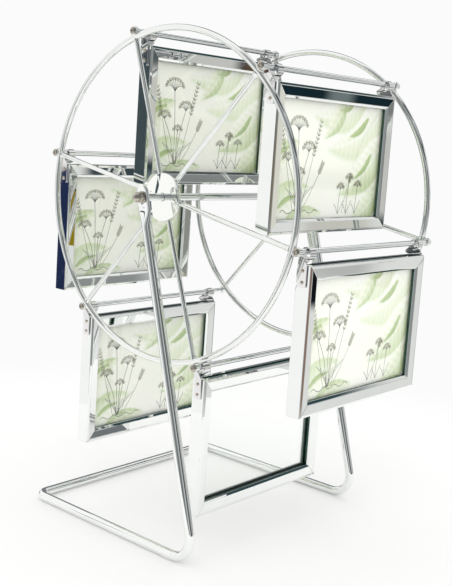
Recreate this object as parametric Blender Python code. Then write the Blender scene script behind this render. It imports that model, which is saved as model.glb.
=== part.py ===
"""Ferris wheel photo frame.

A wheel of chromed wire turns on an axle between the legs of a bent tube stand. Six landscape frames
hang from the rods that join the wheel's two sides. Each frame holds a print between two panes of glass.
The object faces -Y. X runs along the axle, from the near side (-X) to the far side (+X). The origin
is on the floor, under the middle of the stand.
"""

import math

import bmesh
import bpy
from mathutils import Matrix, Vector

MM = 0.001

# Clearances
SEAT_GAP = 0.3 * MM         # between a piece and what it rests on or runs in
PRINT_PLAY = 0.6 * MM       # between the end of a pane and the end of its channel
PANE_RECESS = 1.0 * MM      # from a frame's top edge down to the top of a pane
PRINT_HEADROOM = 1.7 * MM   # extra height of the channel, above a print
AXLE_CLEARANCE = 11.4 * MM  # from the axle up to a frame that passes over it
FLOOR_CLEARANCE = 18.2 * MM  # from the floor up to a frame that passes under the axle
SIDE_ROOM = 10.3 * MM       # from a frame's side to the middle of the hoop beside it
LEG_ROOM = 18.5 * MM        # from the middle of a hoop to the middle of a leg, with the wheel centred
WHEEL_SHIFT = 6.3 * MM      # the wheel sits towards the far leg

# Prints and glass: six by four inch prints
PRINT_LENGTH = 152.4 * MM
PRINT_HEIGHT = 101.6 * MM
PRINT_THICKNESS = 0.4 * MM
GLASS_THICKNESS = 1.5 * MM

# Frame moulding
CHANNEL_WALL = 4.9 * MM     # metal outside the channel that holds the glass
MOULDING_FACE = 11.2 * MM   # width of the front face
MOULDING_DEPTH = 14.0 * MM
OUTER_FACET = 3.0 * MM      # narrow facet along the outer edge
OUTER_FACET_DROP = 0.8 * MM
MAIN_FACET_DROP = 1.3 * MM  # how far the main facet slopes back towards the glass
LIP_FACET = 2.0 * MM        # narrow facet along the inner edge
LIP_FACET_DROP = 1.1 * MM

# Wheel
FRAME_COUNT = 6
FIRST_ANGLE = math.radians(48.8)  # of the first rod, from the front up
HOOP_WIRE = 5.0 * MM
SPOKE_DIAMETER = 4.0 * MM
SPOKE_START = 9.0 * MM      # from the axle's centre to the inner end of a spoke
HUB_DISC_DIAMETER = 38.6 * MM
HUB_DISC_THICKNESS = 1.6 * MM
WELD_BITE = 0.4 * MM        # how deep a welded piece sits in its neighbour
BOSS_DIAMETER = 6.8 * MM
BOSS_LENGTH = 4.2 * MM
BOSS_OFFSET = 5.2 * MM      # from the hoop's centre line out to the rod's centre

# Rods and their screws
ROD_DIAMETER = 4.4 * MM
ROD_BORE_DEPTH = 9.0 * MM
SCREW_DIAMETER = 2.0 * MM
SCREW_GRIP = 7.0 * MM       # how far the screw reaches into the rod
SCREW_HEAD_DIAMETER = 6.4 * MM
SCREW_HEAD_HEIGHT = 1.6 * MM

# Hangers
HANG_GAP = 10.0 * MM        # from the rod's centre down to the frame's top edge
HANGER_SHEET = 0.9 * MM
HANGER_WIDTH = 7.4 * MM
TAIL_LENGTH = 16.5 * MM     # down the frame's side
TAB_WIDTH = 15.0 * MM
TAB_LIFT = 0.5 * MM         # from the frame's top edge up to the tab
CURL_WIDTH = 7.0 * MM
CURL_INSET = 2.2 * MM       # from the tail's outer face in to the curl
CURL_BORE = 7.8 * MM
CURL_TURN = math.radians(285)
RIVET_DIAMETER = 3.0 * MM
RIVET_HEIGHT = 0.9 * MM
RIVET_TOP = 4.0 * MM        # from the frame's top edge down to the upper rivet
RIVET_PITCH = 8.6 * MM

# Axle and its bolts
AXLE_DIAMETER = 6.2 * MM
AXLE_BORE = 3.8 * MM
BOLT_DIAMETER = 3.2 * MM
BOLT_GRIP = 14.0 * MM
WASHER_DIAMETER = 9.6 * MM
WASHER_THICKNESS = 0.8 * MM
NUT_ACROSS_FLATS = 8.0 * MM
NUT_HEIGHT = 3.8 * MM
NUT_DOME_RADIUS = 3.7 * MM

# Stand
STAND_TUBE = 8.0 * MM
FRONT_REACH = 78.7 * MM     # from the axle forward to where the feet turn
REAR_REACH = 112.4 * MM     # from the axle back to the rear bar
FRONT_BEND = 18.5 * MM
REAR_BEND = 9.0 * MM
EYE_WIDTH = 13.4 * MM
EYE_THICKNESS = 2.6 * MM
EYE_TOP = 10.4 * MM         # from the bolt up to the end of the eye
EYE_FLAT = 9.0 * MM         # from the bolt down to where the tube starts to round out
EYE_NECK = 16.0 * MM        # length over which the flat end becomes round tube

# Where each frame has slid to along its rod, from the first rod round
FRAME_SLIDES = (1.8 * MM, 2.6 * MM, -1.0 * MM, -5.3 * MM, -5.3 * MM, -1.8 * MM)
EMPTY_FRAME = 5

# Facet counts
HOOP_STEPS = 72
HOOP_SIDES = 8
TUBE_SIDES = 12
BAR_SIDES = 12
SPOKE_SIDES = 8
DISC_SIDES = 40
BEND_STEPS = 6
CURL_STEPS = 14

# Sizes that follow from those above
CHANNEL_DEPTH = PRINT_THICKNESS + 2 * GLASS_THICKNESS + 4 * SEAT_GAP
CHANNEL_LENGTH = PRINT_LENGTH + 2 * PRINT_PLAY
FRAME_LENGTH = CHANNEL_LENGTH + 2 * CHANNEL_WALL
FRAME_HEIGHT = PRINT_HEIGHT + 2 * PRINT_PLAY + 2 * CHANNEL_WALL + PRINT_HEADROOM
AXLE_RADIUS = AXLE_DIAMETER / 2
ROD_CIRCLE = AXLE_RADIUS + AXLE_CLEARANCE + FRAME_HEIGHT + HANG_GAP
HOOP_RADIUS = ROD_CIRCLE - BOSS_OFFSET
HUB_HEIGHT = FLOOR_CLEARANCE + FRAME_HEIGHT + HANG_GAP + ROD_CIRCLE
HOOP_X = FRAME_LENGTH / 2 + SIDE_ROOM
LEG_SPREAD = HOOP_X + LEG_ROOM
BOSS_BORE = SCREW_DIAMETER + 2 * SEAT_GAP
DISC_BORE = AXLE_DIAMETER + 2 * SEAT_GAP
EYE_BORE = BOLT_DIAMETER + 2 * SEAT_GAP


def clear_scene():
    """Remove whatever the scene holds."""
    for item in list(bpy.data.objects):
        bpy.data.objects.remove(item)


def make_material(name, colour, roughness, metallic):
    """Return a Principled material of one colour."""
    material = bpy.data.materials.new(name)
    material.use_nodes = True
    shader = material.node_tree.nodes["Principled BSDF"]
    shader.inputs["Base Color"].default_value = (*colour, 1.0)
    shader.inputs["Roughness"].default_value = roughness
    shader.inputs["Metallic"].default_value = metallic
    material.diffuse_color = (*colour, 1.0)
    return material


def place(name, mesh, material, location=(0, 0, 0), parent=None):
    """Add an object with the mesh and the material, at a place in the parent's frame."""
    item = bpy.data.objects.new(name, mesh)
    bpy.context.scene.collection.objects.link(item)
    if not mesh.materials:
        mesh.materials.append(material)
    item.location = location
    item.parent = parent
    return item


def add_empty(name, location, parent=None):
    """Add an empty that stands on a joint's axis."""
    empty = bpy.data.objects.new(name, None)
    bpy.context.scene.collection.objects.link(empty)
    empty.empty_display_size = 0.01
    empty.location = location
    empty.parent = parent
    return empty


def finish_mesh(name, shape, smooth=True):
    """Turn a bmesh into a mesh with its faces pointing out."""
    bmesh.ops.recalc_face_normals(shape, faces=shape.faces)
    mesh = bpy.data.meshes.new(name)
    shape.to_mesh(mesh)
    shape.free()
    if smooth:
        mesh.shade_smooth()
        mesh.set_sharp_from_angle(angle=math.radians(35))
    return mesh


def bridge_rings(shape, rings, loop=False, caps=True):
    """Join rings of vertices, in order, with faces, and close the ends."""
    count = len(rings)
    for index in range(count if loop else count - 1):
        first = rings[index]
        second = rings[(index + 1) % count]
        for side in range(len(first)):
            after = (side + 1) % len(first)
            shape.faces.new((first[side], first[after], second[after], second[side]))
    if caps and not loop:
        shape.faces.new(rings[0][::-1])
        shape.faces.new(rings[-1])


def lathe_x(profile, sides, loop=False, centre=(0, 0, 0)):
    """Turn a profile of (x, radius) points about a line along X."""
    shape = bmesh.new()
    origin = Vector(centre)
    rings = []
    for x, radius in profile:
        ring = []
        for side in range(sides):
            angle = 2 * math.pi * (side + 0.5) / sides
            offset = Vector((x, radius * math.cos(angle), radius * math.sin(angle)))
            ring.append(shape.verts.new(origin + offset))
        rings.append(ring)
    bridge_rings(shape, rings, loop)
    return shape


def box(low, high):
    """Return a box between two corners."""
    shape = bmesh.new()
    bmesh.ops.create_cube(shape, size=1.0)
    low, high = Vector(low), Vector(high)
    size = high - low
    bmesh.ops.scale(shape, vec=size, verts=shape.verts)
    bmesh.ops.translate(shape, vec=(low + high) / 2, verts=shape.verts)
    return shape


def combine(mesh, tools, operation):
    """Unite a mesh with the tools, or cut them from it, and return the new mesh."""
    target = bpy.data.objects.new("target", mesh)
    bpy.context.scene.collection.objects.link(target)
    cutters = []
    for number, tool in enumerate(tools):
        cutter = bpy.data.objects.new("cutter", tool)
        bpy.context.scene.collection.objects.link(cutter)
        cutter.hide_render = True
        cutter.display_type = "WIRE"
        cutters.append(cutter)
        step = target.modifiers.new(f"step_{number}", "BOOLEAN")
        step.operation = operation
        step.solver = "EXACT"
        step.object = cutter
    graph = bpy.context.evaluated_depsgraph_get()
    graph.update()
    result = bpy.data.meshes.new_from_object(target.evaluated_get(graph))
    for item in [target] + cutters:
        bpy.data.objects.remove(item)
    return result


def mirrored(mesh):
    """Return a copy of the mesh, mirrored across X = 0."""
    shape = bmesh.new()
    shape.from_mesh(mesh)
    bmesh.ops.scale(shape, vec=(-1, 1, 1), verts=shape.verts)
    bmesh.ops.reverse_faces(shape, faces=shape.faces)
    copy = bpy.data.meshes.new(mesh.name + "_far")
    shape.to_mesh(copy)
    shape.free()
    return copy


def rod_place(index):
    """Return the centre of a cross rod, in the wheel's frame."""
    angle = FIRST_ANGLE + 2 * math.pi * index / FRAME_COUNT
    return Vector((0, -ROD_CIRCLE * math.cos(angle), ROD_CIRCLE * math.sin(angle)))


# Stand: one bent tube with flattened ends

def tube_section(blend, half_thickness, half_width):
    """Return the tube's section, from round (blend 0) to pressed flat (blend 1)."""
    points = []
    for side in range(TUBE_SIDES):
        angle = 2 * math.pi * (side + 0.5) / TUBE_SIDES
        across, along = math.cos(angle), math.sin(angle)
        round_point = Vector((across, along)) * STAND_TUBE / 2
        flat_x = half_thickness * max(-1.0, min(1.0, across / math.cos(math.pi / 4)))
        flat_y = half_width * along / math.cos(math.pi / TUBE_SIDES)
        points.append(round_point.lerp(Vector((flat_x, flat_y)), blend))
    return points


def eye_stations():
    """Return the flattened end as (distance below the bolt, blend, half width), from the top."""
    radius = EYE_WIDTH / 2
    centre = radius - EYE_TOP
    stations = []
    for degrees in (80, 60, 40, 20, 0):
        angle = math.radians(degrees)
        stations.append((centre - radius * math.sin(angle), 1.0, radius * math.cos(angle)))
    stations.append((EYE_FLAT, 1.0, radius))
    for step in range(1, 5):
        share = step / 4
        blend = 1 - share * share * (3 - 2 * share)
        stations.append((EYE_FLAT + EYE_NECK * share, blend, radius))
    return stations


def rounded_corner(before, corner, after, radius):
    """Return points along an arc that rounds the corner."""
    incoming = (corner - before).normalized()
    outgoing = (after - corner).normalized()
    turn = incoming.angle(outgoing)
    reach = radius * math.tan(turn / 2)
    inward = (outgoing - incoming).normalized()
    centre = corner + inward * radius / math.cos(turn / 2)
    start = corner - incoming * reach - centre
    axis = incoming.cross(outgoing)
    points = []
    for step in range(BEND_STEPS + 1):
        swing = Matrix.Rotation(turn * step / BEND_STEPS, 3, axis)
        points.append(centre + swing @ start)
    return points


def stand_mesh():
    """Sweep the tube's section along the legs, the feet and the rear bar."""
    floor = STAND_TUBE / 2 * math.cos(math.pi / TUBE_SIDES)
    eye = Vector((-LEG_SPREAD, 0, HUB_HEIGHT))
    foot = Vector((-LEG_SPREAD, -FRONT_REACH, floor))
    rear = Vector((-LEG_SPREAD, REAR_REACH, floor))
    rear_far = Vector((LEG_SPREAD, REAR_REACH, floor))
    down = (foot - eye).normalized()
    stations = []
    for distance, blend, half_width in eye_stations():
        stations.append((eye + down * distance, blend, half_width))
    for point in rounded_corner(eye, foot, rear, FRONT_BEND):
        stations.append((point, 0.0, 0.0))
    for point in rounded_corner(foot, rear, rear_far, REAR_BEND):
        stations.append((point, 0.0, 0.0))
    for point, blend, half_width in stations[::-1]:
        stations.append((Vector((-point.x, point.y, point.z)), blend, half_width))
    shape = bmesh.new()
    rings = []
    across = Vector((1, 0, 0))
    heading = down.copy()
    for index, (point, blend, half_width) in enumerate(stations):
        before = stations[max(index - 1, 0)][0]
        after = stations[min(index + 1, len(stations) - 1)][0]
        tangent = ((point - before).normalized() + (after - point).normalized()).normalized()
        across = heading.rotation_difference(tangent) @ across
        heading = tangent
        along = tangent.cross(across)
        ring = []
        for spot in tube_section(blend, EYE_THICKNESS / 2, half_width):
            ring.append(shape.verts.new(point + across * spot.x + along * spot.y))
        rings.append(ring)
    bridge_rings(shape, rings)
    tube = finish_mesh("stand_tube", shape)
    hole = finish_mesh("hole", lathe_x(
        [(-LEG_SPREAD * 2, EYE_BORE / 2), (LEG_SPREAD * 2, EYE_BORE / 2)],
        16, centre=(0, 0, HUB_HEIGHT)))
    return combine(tube, [hole], "DIFFERENCE")


def axle_mesh():
    """Return the tube that runs from one eye to the other."""
    half = LEG_SPREAD - EYE_THICKNESS / 2 - SEAT_GAP
    outer, inner = AXLE_RADIUS, AXLE_BORE / 2
    profile = [(-half, outer), (half, outer), (half, inner), (-half, inner)]
    return finish_mesh("axle_tube", lathe_x(profile, 16, loop=True))


def axle_bolt_mesh():
    """Return the near bolt: shank, washer and domed nut, with the eye's outer face at X = 0."""
    shank = BOLT_DIAMETER / 2
    washer = WASHER_DIAMETER / 2
    seat = -SEAT_GAP
    nut_face = seat - WASHER_THICKNESS
    dome_face = nut_face - NUT_HEIGHT
    profile = [(BOLT_GRIP, shank), (seat, shank), (seat, washer), (nut_face, washer)]
    profile.append((nut_face, NUT_DOME_RADIUS))
    for degrees in (0, 25, 50, 70, 85):
        angle = math.radians(degrees)
        reach = dome_face - NUT_DOME_RADIUS * math.sin(angle)
        profile.append((reach, NUT_DOME_RADIUS * math.cos(angle)))
    core = finish_mesh("axle_bolt", lathe_x(profile, 20))
    corner = NUT_ACROSS_FLATS / 2 / math.cos(math.pi / 6)
    hexagon = lathe_x([(nut_face + WASHER_THICKNESS / 2, corner), (dome_face, corner)], 6)
    return combine(core, [finish_mesh("hexagon", hexagon, smooth=False)], "UNION")


# Wheel sides: hoop, spokes, hub disc and bosses, welded

def hoop_shape():
    """Return the round hoop of wire, about X."""
    shape = bmesh.new()
    rings = []
    for step in range(HOOP_STEPS):
        turn = 2 * math.pi * step / HOOP_STEPS
        outward = Vector((0, math.cos(turn), math.sin(turn)))
        ring = []
        for side in range(HOOP_SIDES):
            angle = 2 * math.pi * (side + 0.5) / HOOP_SIDES
            spot = outward * (HOOP_RADIUS + HOOP_WIRE / 2 * math.cos(angle))
            spot.x = HOOP_WIRE / 2 * math.sin(angle)
            ring.append(shape.verts.new(spot))
        rings.append(ring)
    bridge_rings(shape, rings, loop=True)
    return shape


def spoke_mesh(index):
    """Return one spoke, from beside the axle into the hoop's wire."""
    shape = bmesh.new()
    outward = rod_place(index).normalized()
    sideways = outward.cross(Vector((1, 0, 0)))
    rings = []
    for distance in (SPOKE_START, HOOP_RADIUS - WELD_BITE):
        ring = []
        for side in range(SPOKE_SIDES):
            angle = 2 * math.pi * (side + 0.5) / SPOKE_SIDES
            spot = outward * distance + sideways * (SPOKE_DIAMETER / 2 * math.cos(angle))
            spot.x = SPOKE_DIAMETER / 2 * math.sin(angle)
            ring.append(shape.verts.new(spot))
        rings.append(ring)
    bridge_rings(shape, rings)
    return finish_mesh("spoke", shape)


def wheel_side_mesh():
    """Weld a wheel side, with its middle plane at X = 0 and its hub disc outside, towards -X."""
    inner_face = -SPOKE_DIAMETER / 2 * math.cos(math.pi / SPOKE_SIDES) + WELD_BITE
    outer_face = inner_face - HUB_DISC_THICKNESS
    outer, inner = HUB_DISC_DIAMETER / 2, DISC_BORE / 2
    profile = [(outer_face, outer), (inner_face, outer), (inner_face, inner), (outer_face, inner)]
    pieces = [finish_mesh("disc", lathe_x(profile, DISC_SIDES, loop=True))]
    holes = []
    for index in range(FRAME_COUNT):
        centre = rod_place(index)
        half = BOSS_LENGTH / 2
        boss = [(-half, BOSS_DIAMETER / 2), (half, BOSS_DIAMETER / 2)]
        bore = [(-BOSS_LENGTH, BOSS_BORE / 2), (BOSS_LENGTH, BOSS_BORE / 2)]
        pieces.append(spoke_mesh(index))
        pieces.append(finish_mesh("boss", lathe_x(boss, BAR_SIDES, centre=centre)))
        holes.append(finish_mesh("bore", lathe_x(bore, 8, centre=centre)))
    side = combine(finish_mesh("wheel_side", hoop_shape()), pieces, "UNION")
    return combine(side, holes, "DIFFERENCE")


def rod_mesh():
    """Return a cross rod with a blind bore for the screw in each end."""
    half = HOOP_X - BOSS_LENGTH / 2 - SEAT_GAP
    bottom = half - ROD_BORE_DEPTH
    outer, bore = ROD_DIAMETER / 2, BOSS_BORE / 2
    profile = [(-bottom, bore), (-half, bore), (-half, outer), (half, outer), (half, bore), (bottom, bore)]
    return finish_mesh("cross_rod", lathe_x(profile, BAR_SIDES))


def screw_mesh():
    """Return the near screw, with the boss's outer face at X = 0 and the head towards -X."""
    shank, head = SCREW_DIAMETER / 2, SCREW_HEAD_DIAMETER / 2
    profile = [(BOSS_LENGTH + SEAT_GAP + SCREW_GRIP, shank), (-SEAT_GAP, shank)]
    for share, rise in ((1.0, 0.0), (1.0, 0.3), (0.82, 0.68), (0.5, 0.92), (0.15, 1.0)):
        profile.append((-SEAT_GAP - SCREW_HEAD_HEIGHT * rise, head * share))
    return finish_mesh("rod_screw", lathe_x(profile, BAR_SIDES))


# Frames: moulding, glass, print and hangers, with the rod's centre as their origin

def moulding_mesh():
    """Run the moulding's section round the frame, mitred at the corners, and cut the channel."""
    half = MOULDING_DEPTH / 2
    slope_end = half - MAIN_FACET_DROP
    front = [
        (0.0, half - OUTER_FACET_DROP),
        (OUTER_FACET, half),
        (MOULDING_FACE - LIP_FACET, slope_end),
        (MOULDING_FACE, slope_end - LIP_FACET_DROP),
    ]
    section = front + [(inset, -depth) for inset, depth in front[::-1]]
    shape = bmesh.new()
    rings = []
    for side_x, side_z in ((-1, -1), (1, -1), (1, 1), (-1, 1)):
        ring = []
        for inset, depth in section:
            x = side_x * (FRAME_LENGTH / 2 - inset)
            z = side_z * (FRAME_HEIGHT / 2 - inset) - HANG_GAP - FRAME_HEIGHT / 2
            ring.append(shape.verts.new((x, depth, z)))
        rings.append(ring)
    bridge_rings(shape, rings, loop=True)
    body = finish_mesh("moulding", shape, smooth=False)
    floor = -HANG_GAP - FRAME_HEIGHT + CHANNEL_WALL
    channel = box(
        (-CHANNEL_LENGTH / 2, -CHANNEL_DEPTH / 2, floor),
        (CHANNEL_LENGTH / 2, CHANNEL_DEPTH / 2, -HANG_GAP + CHANNEL_WALL))
    return combine(body, [finish_mesh("channel", channel, smooth=False)], "DIFFERENCE")


def pane_mesh():
    """Return a pane of glass that stands on the channel's floor, with its inner face at Y = 0."""
    floor = -HANG_GAP - FRAME_HEIGHT + CHANNEL_WALL + SEAT_GAP
    top = -HANG_GAP - PANE_RECESS
    pane = box((-PRINT_LENGTH / 2, -GLASS_THICKNESS, floor), (PRINT_LENGTH / 2, 0, top))
    return finish_mesh("pane", pane, smooth=False)


def print_mesh():
    """Return a print that stands on the channel's floor between the panes."""
    floor = -HANG_GAP - FRAME_HEIGHT + CHANNEL_WALL + SEAT_GAP
    half = PRINT_THICKNESS / 2
    sheet = box((-PRINT_LENGTH / 2, -half, floor), (PRINT_LENGTH / 2, half, floor + PRINT_HEIGHT))
    return finish_mesh("print", sheet, smooth=False)


def curl_shape(outer_x):
    """Return the tab and the curl that goes round the rod, as one bent strip."""
    middle = CURL_BORE / 2 + HANGER_SHEET / 2
    centre_z = -(CURL_BORE / 2 - ROD_DIAMETER / 2 - SEAT_GAP)
    low = -HANG_GAP + TAB_LIFT
    rise = centre_z - low
    stations = []
    for share, inset, width in ((0.0, 0.0, 0.62), (0.12, 0.0, 0.86), (0.35, 0.0, 1.0)):
        stations.append((Vector((middle, low + rise * share)), Vector((1, 0)), inset, TAB_WIDTH * width))
    stations.append((Vector((middle, centre_z - rise * 0.25)), Vector((1, 0)), CURL_INSET, CURL_WIDTH))
    for step in range(CURL_STEPS + 1):
        angle = CURL_TURN * step / CURL_STEPS
        outward = Vector((math.cos(angle), math.sin(angle)))
        spot = Vector((0, centre_z)) + outward * middle
        stations.append((spot, outward, CURL_INSET, CURL_WIDTH))
    shape = bmesh.new()
    rings = []
    for spot, outward, inset, width in stations:
        ring = []
        for x, side in ((0, -1), (0, 1), (1, 1), (1, -1)):
            place_yz = spot + outward * side * HANGER_SHEET / 2
            ring.append(shape.verts.new((outer_x + inset + width * x, place_yz.x, place_yz.y)))
        rings.append(ring)
    bridge_rings(shape, rings)
    return shape


def tail_shape(outer_x):
    """Return the strip down the frame's side, with the shoulder that joins it to the tab."""
    half = HANGER_WIDTH / 2
    edge = CURL_BORE / 2 + HANGER_SHEET
    low = -HANG_GAP - TAIL_LENGTH
    seam = -HANG_GAP + TAB_LIFT
    top = -HANG_GAP * 0.4
    outline = [
        (-half, low + 0.25 * HANGER_WIDTH), (-0.6 * half, low), (0.6 * half, low),
        (half, low + 0.25 * HANGER_WIDTH), (half, seam), (edge, seam), (edge, top),
        (0.2 * half, top), (-half, seam),
    ]
    shape = bmesh.new()
    rings = []
    for x in (outer_x, outer_x + HANGER_SHEET):
        rings.append([shape.verts.new((x, y, z)) for y, z in outline])
    bridge_rings(shape, rings)
    return shape


def hanger_mesh():
    """Join the near hanger's tail, tab, curl and rivet heads."""
    outer_x = -FRAME_LENGTH / 2 - SEAT_GAP - HANGER_SHEET
    tail = finish_mesh("hanger", tail_shape(outer_x))
    pieces = [finish_mesh("curl", curl_shape(outer_x))]
    for row in range(2):
        radius = RIVET_DIAMETER / 2
        profile = [(HANGER_SHEET / 2, radius), (-0.3 * RIVET_HEIGHT, radius)]
        profile.append((-0.8 * RIVET_HEIGHT, 0.7 * radius))
        profile.append((-RIVET_HEIGHT, 0.3 * radius))
        centre = (outer_x, 0, -HANG_GAP - RIVET_TOP - RIVET_PITCH * row)
        pieces.append(finish_mesh("rivet", lathe_x(profile, 10, centre=centre)))
    return combine(tail, pieces, "UNION")


def build():
    """Build and place every piece."""
    clear_scene()
    chrome = make_material("chrome", (0.80, 0.81, 0.80), 0.08, 1.0)
    wire_chrome = make_material("wire_chrome", (0.78, 0.79, 0.78), 0.12, 1.0)
    hub_chrome = make_material("hub_chrome", (0.88, 0.89, 0.87), 0.05, 1.0)
    moulding_chrome = make_material("moulding_chrome", (0.74, 0.76, 0.75), 0.10, 1.0)
    glass = make_material("glass", (0.72, 0.84, 0.78), 0.03, 0.0)
    paper = make_material("print_paper", (0.90, 0.92, 0.82), 0.55, 0.0)

    place("stand_tube", stand_mesh(), chrome)
    place("axle_tube", axle_mesh(), wire_chrome, (0, 0, HUB_HEIGHT))
    bolt = axle_bolt_mesh()
    bolt_x = LEG_SPREAD + EYE_THICKNESS / 2
    place("axle_bolt_near", bolt, wire_chrome, (-bolt_x, 0, HUB_HEIGHT))
    place("axle_bolt_far", mirrored(bolt), wire_chrome, (bolt_x, 0, HUB_HEIGHT))

    wheel = add_empty("wheel_axis", (WHEEL_SHIFT, 0, HUB_HEIGHT))
    side = wheel_side_mesh()
    place("wheel_side_near", side, hub_chrome, (-HOOP_X, 0, 0), wheel)
    place("wheel_side_far", mirrored(side), hub_chrome, (HOOP_X, 0, 0), wheel)
    rod, screw = rod_mesh(), screw_mesh()
    far_screw = mirrored(screw)
    boss_face = HOOP_X + BOSS_LENGTH / 2
    moulding, pane, sheet, hanger = moulding_mesh(), pane_mesh(), print_mesh(), hanger_mesh()
    far_hanger = mirrored(hanger)
    pane_face = PRINT_THICKNESS / 2 + SEAT_GAP
    for index in range(FRAME_COUNT):
        number = index + 1
        centre = rod_place(index)
        place(f"cross_rod_{number}", rod, wire_chrome, centre, wheel)
        place(f"rod_screw_{number}_near", screw, chrome, centre - Vector((boss_face, 0, 0)), wheel)
        place(f"rod_screw_{number}_far", far_screw, chrome, centre + Vector((boss_face, 0, 0)), wheel)
        slide = FRAME_SLIDES[index % len(FRAME_SLIDES)]
        pivot = add_empty(f"frame_{number}_pivot", centre + Vector((slide, 0, 0)), wheel)
        place(f"frame_{number}_moulding", moulding, moulding_chrome, (0, 0, 0), pivot)
        place(f"frame_{number}_hanger_near", hanger, chrome, (0, 0, 0), pivot)
        place(f"frame_{number}_hanger_far", far_hanger, chrome, (0, 0, 0), pivot)
        place(f"frame_{number}_glass_front", pane, glass, (0, -pane_face, 0), pivot)
        place(f"frame_{number}_glass_back", pane, glass, (0, pane_face + GLASS_THICKNESS, 0), pivot)
        if number != EMPTY_FRAME:
            place(f"frame_{number}_print", sheet, paper, (0, 0, 0), pivot)


build()
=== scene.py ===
"""The looks of a ferris wheel photo frame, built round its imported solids.

The sections follow the object as it is put together: the stand, the axle, the two wheel sides, the
rods with their screws, and the six hanging frames. The stage, the light and the camera come last.
"""

import math

import bmesh
import bpy
import numpy as np
from mathutils import Matrix, Vector


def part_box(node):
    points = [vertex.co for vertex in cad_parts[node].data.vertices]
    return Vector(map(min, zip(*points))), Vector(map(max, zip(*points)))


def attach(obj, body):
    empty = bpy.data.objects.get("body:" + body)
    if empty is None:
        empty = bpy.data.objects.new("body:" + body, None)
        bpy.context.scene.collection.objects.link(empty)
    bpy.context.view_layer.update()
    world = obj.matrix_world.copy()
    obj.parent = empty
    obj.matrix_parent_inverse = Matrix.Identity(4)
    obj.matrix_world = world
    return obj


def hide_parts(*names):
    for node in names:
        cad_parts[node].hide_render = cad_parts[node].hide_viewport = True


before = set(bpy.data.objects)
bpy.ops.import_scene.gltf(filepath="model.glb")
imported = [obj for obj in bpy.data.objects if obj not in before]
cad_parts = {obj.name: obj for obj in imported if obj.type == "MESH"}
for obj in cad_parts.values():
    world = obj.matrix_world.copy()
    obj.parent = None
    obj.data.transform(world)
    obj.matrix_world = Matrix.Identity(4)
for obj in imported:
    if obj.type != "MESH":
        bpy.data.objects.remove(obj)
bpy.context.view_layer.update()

# The stand is one length of steel tube. It is bent into two legs, two feet, two base sides and a rear
# bar, its ends are pressed flat into eyes for the axle's bolts, and it is polished and chrome plated.

MM = 0.001
TUBE = 8.0 * MM
FRONT_REACH = 78.7 * MM     # from the axle forward to where the feet turn
REAR_REACH = 112.4 * MM     # from the axle back to the rear bar
FRONT_BEND = 18.5 * MM
REAR_BEND = 9.0 * MM
EYE_WIDTH = 13.4 * MM
EYE_THICKNESS = 2.6 * MM
EYE_TOP = 10.4 * MM         # from the bolt up to the end of the eye
EYE_FLAT = 9.0 * MM         # from the bolt down to where the tube starts to round out
EYE_NECK = 16.0 * MM        # length over which the flat end becomes round tube
EYE_HOLE = 3.8 * MM
EYE_HOLE_SIDES = 32
TUBE_SIDES = 40
BEND_STEPS = 20
NECK_STEPS = 12
HAZE_SIZE = 22 * MM         # across a cloud of faint haze in the plate
SMEAR_SIZE = 6 * MM         # across a smear that fingers leave
RIPPLE_SIZE = 16 * MM       # across a slow ripple that polishing leaves
FIRST, SECOND, MIXED = 6, 7, 2      # a Mix node's two colour inputs and its colour output


def centre_of(node):
    """Return the middle of a node's box."""
    low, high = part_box(node)
    return (low + high) / 2


def to_linear(colour):
    """Turn an sRGB hex colour into linear red, green, blue and alpha."""
    parts = [int(colour[place:place + 2], 16) / 255 for place in (1, 3, 5)]
    return [part / 12.92 if part <= 0.04045 else ((part + 0.055) / 1.055) ** 2.4 for part in parts] + [1.0]


def connect(tree, node, inputs):
    """Give each named input of a node a value or a link."""
    for name, value in inputs.items():
        if isinstance(value, bpy.types.NodeSocket):
            tree.links.new(value, node.inputs[name])
        else:
            node.inputs[name].default_value = value


def add_node(tree, kind, inputs=None, output=0, **settings):
    """Add a node with its settings and inputs, and return one of its outputs."""
    node = tree.nodes.new("ShaderNode" + kind)
    for name, value in settings.items():
        setattr(node, name, value)
    connect(tree, node, inputs or {})
    return node.outputs[output]


def new_material(name):
    """Return a new material, its node tree and its Principled shader."""
    material = bpy.data.materials.new(name)
    material.use_nodes = True
    return material, material.node_tree, material.node_tree.nodes["Principled BSDF"]


def bright_plate(name, colour, haze, polish, smear, ripple):
    """Chrome or nickel plate on polished steel: a mirror with faint haze, smears and a slow ripple."""
    material, tree, shader = new_material(name)
    spot = add_node(tree, "TexCoord", output="Object")
    cloud = add_node(tree, "TexNoise", {"Vector": spot, "Scale": 1 / HAZE_SIZE, "Detail": 3.0})
    smears = add_node(tree, "TexNoise", {"Vector": spot, "Scale": 1 / SMEAR_SIZE, "Detail": 5.0,
                                         "Distortion": 0.6})
    wave = add_node(tree, "TexNoise", {"Vector": spot, "Scale": 1 / RIPPLE_SIZE, "Detail": 1.0})
    connect(tree, shader, {
        "Metallic": 1.0,
        "Base Color": add_node(tree, "Mix", {"Factor": cloud, FIRST: to_linear(colour),
                                             SECOND: to_linear(haze)}, MIXED, data_type="RGBA"),
        "Roughness": add_node(tree, "MapRange", {"Value": smears, "From Min": 0.45, "From Max": 0.75,
                                                 "To Min": polish, "To Max": smear}),
        "Normal": add_node(tree, "Bump", {"Height": wave, "Strength": 1.0, "Distance": ripple})})
    return material


def smoothed(mesh, crease):
    """Shade a mesh smooth, but sharp where it turns by more than the crease in degrees."""
    mesh.shade_smooth()
    mesh.set_sharp_from_angle(angle=math.radians(crease))
    return mesh


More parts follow.
